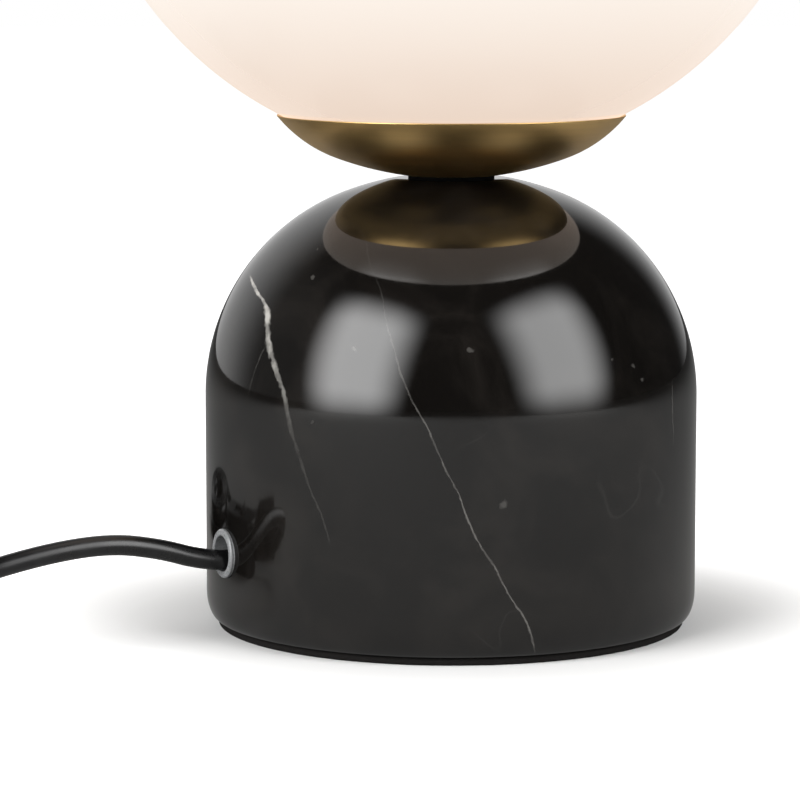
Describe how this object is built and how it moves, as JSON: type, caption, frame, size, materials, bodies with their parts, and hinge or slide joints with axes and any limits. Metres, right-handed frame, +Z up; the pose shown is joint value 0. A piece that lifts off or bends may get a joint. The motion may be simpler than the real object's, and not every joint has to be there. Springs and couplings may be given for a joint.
{
  "type": "glass globe table lamp",
  "caption": "Table lamp with a glowing opal glass globe in a shallow brass dish on a bullet-shaped black marble base, with a corded rocker switch and plug.",
  "frame": {"origin": "middle of the felt pad's underside, on the surface the lamp stands on", "axes": "+Z up along the lamp's axis, -Y towards the picture's viewer, +X to the viewer's right"},
  "size_m": [0.3272, 0.2608, 0.3255],
  "materials": {
    "black_marble": "polished, with white veins",
    "dark_felt": "napped felt",
    "clear_grey_rubber": "translucent, satin",
    "zinc_steel": "zinc plated",
    "black_nylon": "moulded",
    "white_nylon": "moulded",
    "black_rubber": "matte",
    "antique_brass": "brushed in circles, aged",
    "clear_silicone": "translucent",
    "spring_steel": "bright spring strip",
    "rivet_brass": "bright",
    "holder_plastic": "moulded thermoset",
    "white_ceramic": "glazed",
    "plain_brass": "stamped",
    "opal_glass": "gloss opal white",
    "bulb_metal": "nickel bright",
    "black_insulator": "fused black glass",
    "white_housing": "satin",
    "led_board": "white coated",
    "led_yellow": "phosphor",
    "driver_green": "circuit board",
    "frosted_diffuser": "frosted, translucent",
    "black_cord": "satin sheath",
    "brown_wire": "satin",
    "blue_wire": "satin",
    "black_switch": "satin moulding",
    "black_rocker": "satin moulding",
    "black_plug": "satin moulding",
    "nickel_pins": "nickel plated brass",
    "black_relief": "satin moulding"
  },
  "bodies": {
    "lamp": {"marble_base": "black_marble", "base_pad": "dark_felt", "cable_grommet": "clear_grey_rubber", "threaded_tube": "zinc_steel", "base_washer": "zinc_steel", "base_nut": "zinc_steel", "cord_grip": "black_nylon", "cord_grip_screw": "white_nylon", "dish_seat_washer": "black_rubber", "brass_dish": "antique_brass", "dish_washer": "zinc_steel", "dish_nut": "zinc_steel", "globe_gasket": "clear_silicone", "clip_spider": "zinc_steel", "globe_clip_1": "spring_steel", "globe_clip_2": "spring_steel", "globe_clip_3": "spring_steel", "clip_rivets": "rivet_brass", "holder_cap": "holder_plastic", "holder_skirt": "holder_plastic", "holder_core": "white_ceramic", "screw_shell": "plain_brass", "centre_contact": "plain_brass", "holder_terminals": "plain_brass", "terminal_screws": "zinc_steel", "inner_cord": "black_cord", "live_wire": "brown_wire", "neutral_wire": "blue_wire", "cord_lead": "black_cord", "cord_coil": "black_cord", "cord_middle": "black_cord", "cord_tail": "black_cord", "switch_base": "black_switch", "switch_cover": "black_switch", "switch_screws": "zinc_steel", "rocker_pin": "zinc_steel", "switch_contacts": "plain_brass", "plug_body": "black_plug", "plug_pins": "nickel_pins", "pin_sleeves": "black_plug", "plug_relief": "black_relief"},
    "globe": {"glass_globe": "opal_glass"},
    "bulb_lift": {"bulb_contact": "bulb_metal"},
    "bulb": {"bulb_cap": "bulb_metal", "bulb_insulator": "black_insulator", "bulb_housing": "white_housing", "led_board": "led_board", "led_chips": "led_yellow", "bulb_driver": "driver_green", "bulb_diffuser": "frosted_diffuser"},
    "rocker": {"switch_rocker": "black_rocker", "rocker_contact": "plain_brass"}
  },
  "joints": [
    {"name": "globe_lift", "type": "slide", "parent": "lamp", "child": "globe", "axis": [0, 0, 1], "range_m": [0, 0.14], "deforming": ["globe_clip_1", "globe_clip_2", "globe_clip_3"]},
    {"name": "bulb_advance", "type": "slide", "parent": "lamp", "child": "bulb_lift", "axis": [0, 0, 1], "range_m": [0, 0.0201]},
    {"name": "bulb_turn", "type": "hinge", "parent": "bulb_lift", "child": "bulb", "pos_m": [0, 0, 0.17], "axis": [0, 0, 1], "range_deg": [0, 1980]},
    {"name": "switch_rocker_tilt", "type": "hinge", "parent": "lamp", "child": "rocker", "pos_m": [-0.159, 0.0145, 0.0128], "axis": [1, 0, 0], "range_deg": [0, 20]}
  ],
  "couplings": [
    {"joint": "bulb_advance", "follows": "bulb_turn", "m_per_rad": 0.00057757}
  ]
}
